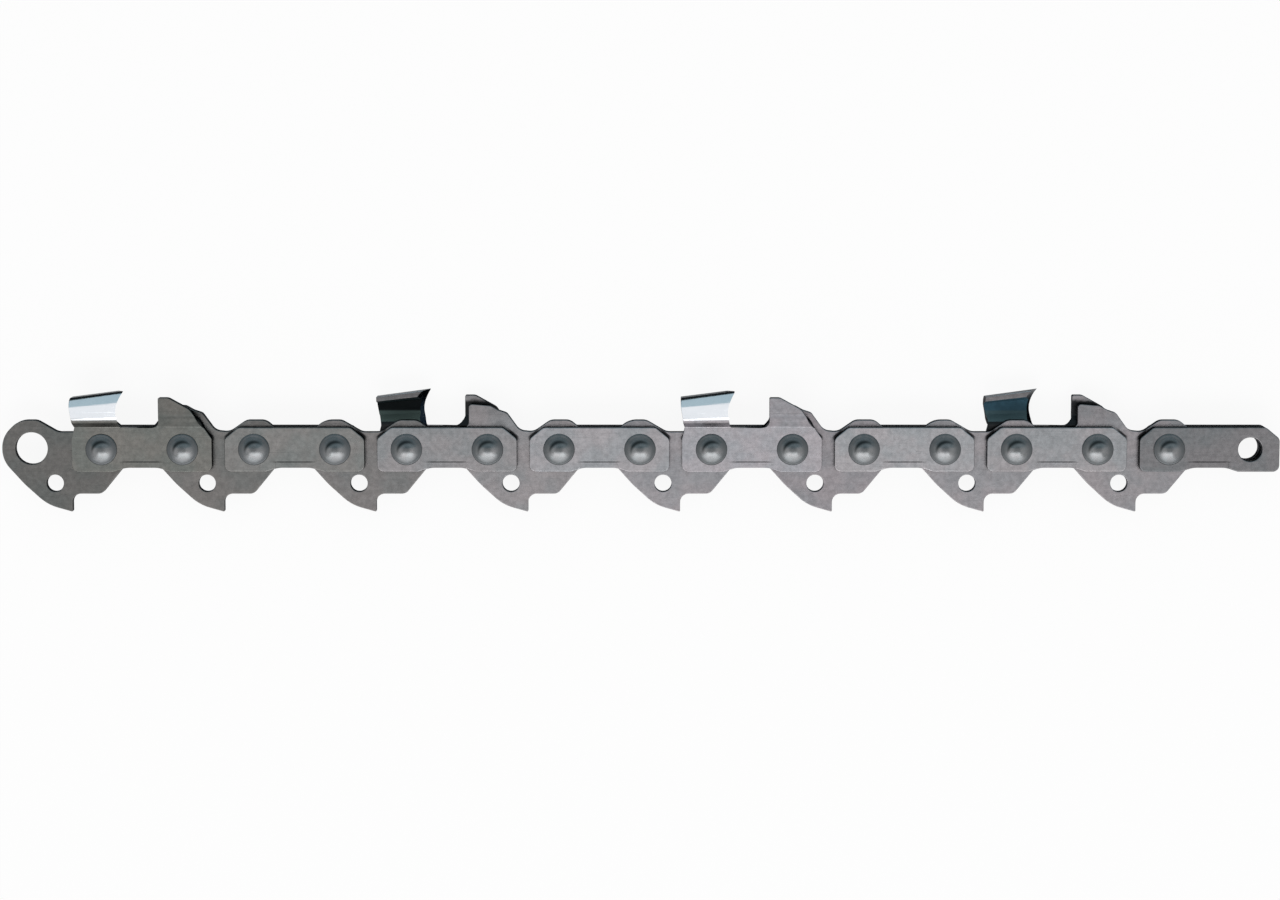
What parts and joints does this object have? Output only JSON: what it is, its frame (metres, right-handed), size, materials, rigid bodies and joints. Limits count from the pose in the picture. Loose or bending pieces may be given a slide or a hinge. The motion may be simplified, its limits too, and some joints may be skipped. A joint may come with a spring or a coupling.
{
  "type": "chainsaw chain",
  "caption": "Straight length of low-profile saw chain, open at both ends: drive links with tangs between riveted side plates, with hooded cutters on alternate sides and depth gauges.",
  "frame": {"origin": "on the ground, under the middle of the chain's outline as it lies on its left side", "axes": "+X the way the chain travels, +Y the side of the teeth, away from the guide bar, +Z the right side of the chain, upwards"},
  "size_m": [0.1564, 0.015, 0.0059],
  "materials": {
    "drive_link_steel": "tumbled and blued grey, satin",
    "tie_strap_steel": "tumbled grey, satin",
    "chromed_cutter": "hard chrome, satin to bright",
    "rivet_steel": "spun smooth, half gloss"
  },
  "bodies": {
    "drive_1": {"drive_link_1": "drive_link_steel"},
    "plates_1": {"right_cutter_1": "chromed_cutter", "left_tie_strap_1": "tie_strap_steel", "rivet_1": "rivet_steel", "rivet_2": "rivet_steel"},
    "drive_2": {"drive_link_2": "drive_link_steel"},
    "plates_2": {"right_tie_strap_2": "tie_strap_steel", "left_tie_strap_2": "tie_strap_steel", "rivet_3": "rivet_steel", "rivet_4": "rivet_steel"},
    "drive_3": {"drive_link_3": "drive_link_steel"},
    "plates_3": {"right_tie_strap_3": "tie_strap_steel", "left_cutter_3": "chromed_cutter", "rivet_5": "rivet_steel", "rivet_6": "rivet_steel"},
    "drive_4": {"drive_link_4": "drive_link_steel"},
    "plates_4": {"right_tie_strap_4": "tie_strap_steel", "left_tie_strap_4": "tie_strap_steel", "rivet_7": "rivet_steel", "rivet_8": "rivet_steel"},
    "drive_5": {"drive_link_5": "drive_link_steel"},
    "plates_5": {"right_cutter_5": "chromed_cutter", "left_tie_strap_5": "tie_strap_steel", "rivet_9": "rivet_steel", "rivet_10": "rivet_steel"},
    "drive_6": {"drive_link_6": "drive_link_steel"},
    "plates_6": {"right_tie_strap_6": "tie_strap_steel", "left_tie_strap_6": "tie_strap_steel", "rivet_11": "rivet_steel", "rivet_12": "rivet_steel"},
    "drive_7": {"drive_link_7": "drive_link_steel"},
    "plates_7": {"right_tie_strap_7": "tie_strap_steel", "left_cutter_7": "chromed_cutter", "rivet_13": "rivet_steel", "rivet_14": "rivet_steel"},
    "drive_8": {"drive_link_8": "drive_link_steel"},
    "plates_8": {"right_tie_strap_8": "tie_strap_steel", "left_tie_strap_8": "tie_strap_steel", "rivet_15": "rivet_steel"}
  },
  "joints": [
    {"name": "hinge_1", "type": "hinge", "parent": "plates_1", "child": "drive_1", "pos_m": [-0.06582, 0.00035, 0.00295], "axis": [0, 0, 1], "range_deg": [-18, 35]},
    {"name": "hinge_2", "type": "hinge", "parent": "drive_2", "child": "plates_1", "pos_m": [-0.05592, 0.00035, 0.00295], "axis": [0, 0, 1], "range_deg": [-18, 35]},
    {"name": "hinge_3", "type": "hinge", "parent": "plates_2", "child": "drive_2", "pos_m": [-0.04718, 0.00035, 0.00295], "axis": [0, 0, 1], "range_deg": [-18, 35]},
    {"name": "hinge_4", "type": "hinge", "parent": "drive_3", "child": "plates_2", "pos_m": [-0.03728, 0.00035, 0.00295], "axis": [0, 0, 1], "range_deg": [-18, 35]},
    {"name": "hinge_5", "type": "hinge", "parent": "plates_3", "child": "drive_3", "pos_m": [-0.02854, 0.00035, 0.00295], "axis": [0, 0, 1], "range_deg": [-18, 35]},
    {"name": "hinge_6", "type": "hinge", "parent": "drive_4", "child": "plates_3", "pos_m": [-0.01864, 0.00035, 0.00295], "axis": [0, 0, 1], "range_deg": [-18, 35]},
    {"name": "hinge_7", "type": "hinge", "parent": "plates_4", "child": "drive_4", "pos_m": [-0.0099, 0.00035, 0.00295], "axis": [0, 0, 1], "range_deg": [-18, 35]},
    {"name": "hinge_8", "type": "hinge", "parent": "plates_4", "child": "drive_5", "pos_m": [0, 0.00035, 0.00295], "axis": [0, 0, 1], "range_deg": [-35, 18]},
    {"name": "hinge_9", "type": "hinge", "parent": "drive_5", "child": "plates_5", "pos_m": [0.00874, 0.00035, 0.00295], "axis": [0, 0, 1], "range_deg": [-35, 18]},
    {"name": "hinge_10", "type": "hinge", "parent": "plates_5", "child": "drive_6", "pos_m": [0.01864, 0.00035, 0.00295], "axis": [0, 0, 1], "range_deg": [-35, 18]},
    {"name": "hinge_11", "type": "hinge", "parent": "drive_6", "child": "plates_6", "pos_m": [0.02738, 0.00035, 0.00295], "axis": [0, 0, 1], "range_deg": [-35, 18]},
    {"name": "hinge_12", "type": "hinge", "parent": "plates_6", "child": "drive_7", "pos_m": [0.03728, 0.00035, 0.00295], "axis": [0, 0, 1], "range_deg": [-35, 18]},
    {"name": "hinge_13", "type": "hinge", "parent": "drive_7", "child": "plates_7", "pos_m": [0.04602, 0.00035, 0.00295], "axis": [0, 0, 1], "range_deg": [-35, 18]},
    {"name": "hinge_14", "type": "hinge", "parent": "plates_7", "child": "drive_8", "pos_m": [0.05592, 0.00035, 0.00295], "axis": [0, 0, 1], "range_deg": [-35, 18]},
    {"name": "hinge_15", "type": "hinge", "parent": "drive_8", "child": "plates_8", "pos_m": [0.06466, 0.00035, 0.00295], "axis": [0, 0, 1], "range_deg": [-35, 18]}
  ]
}
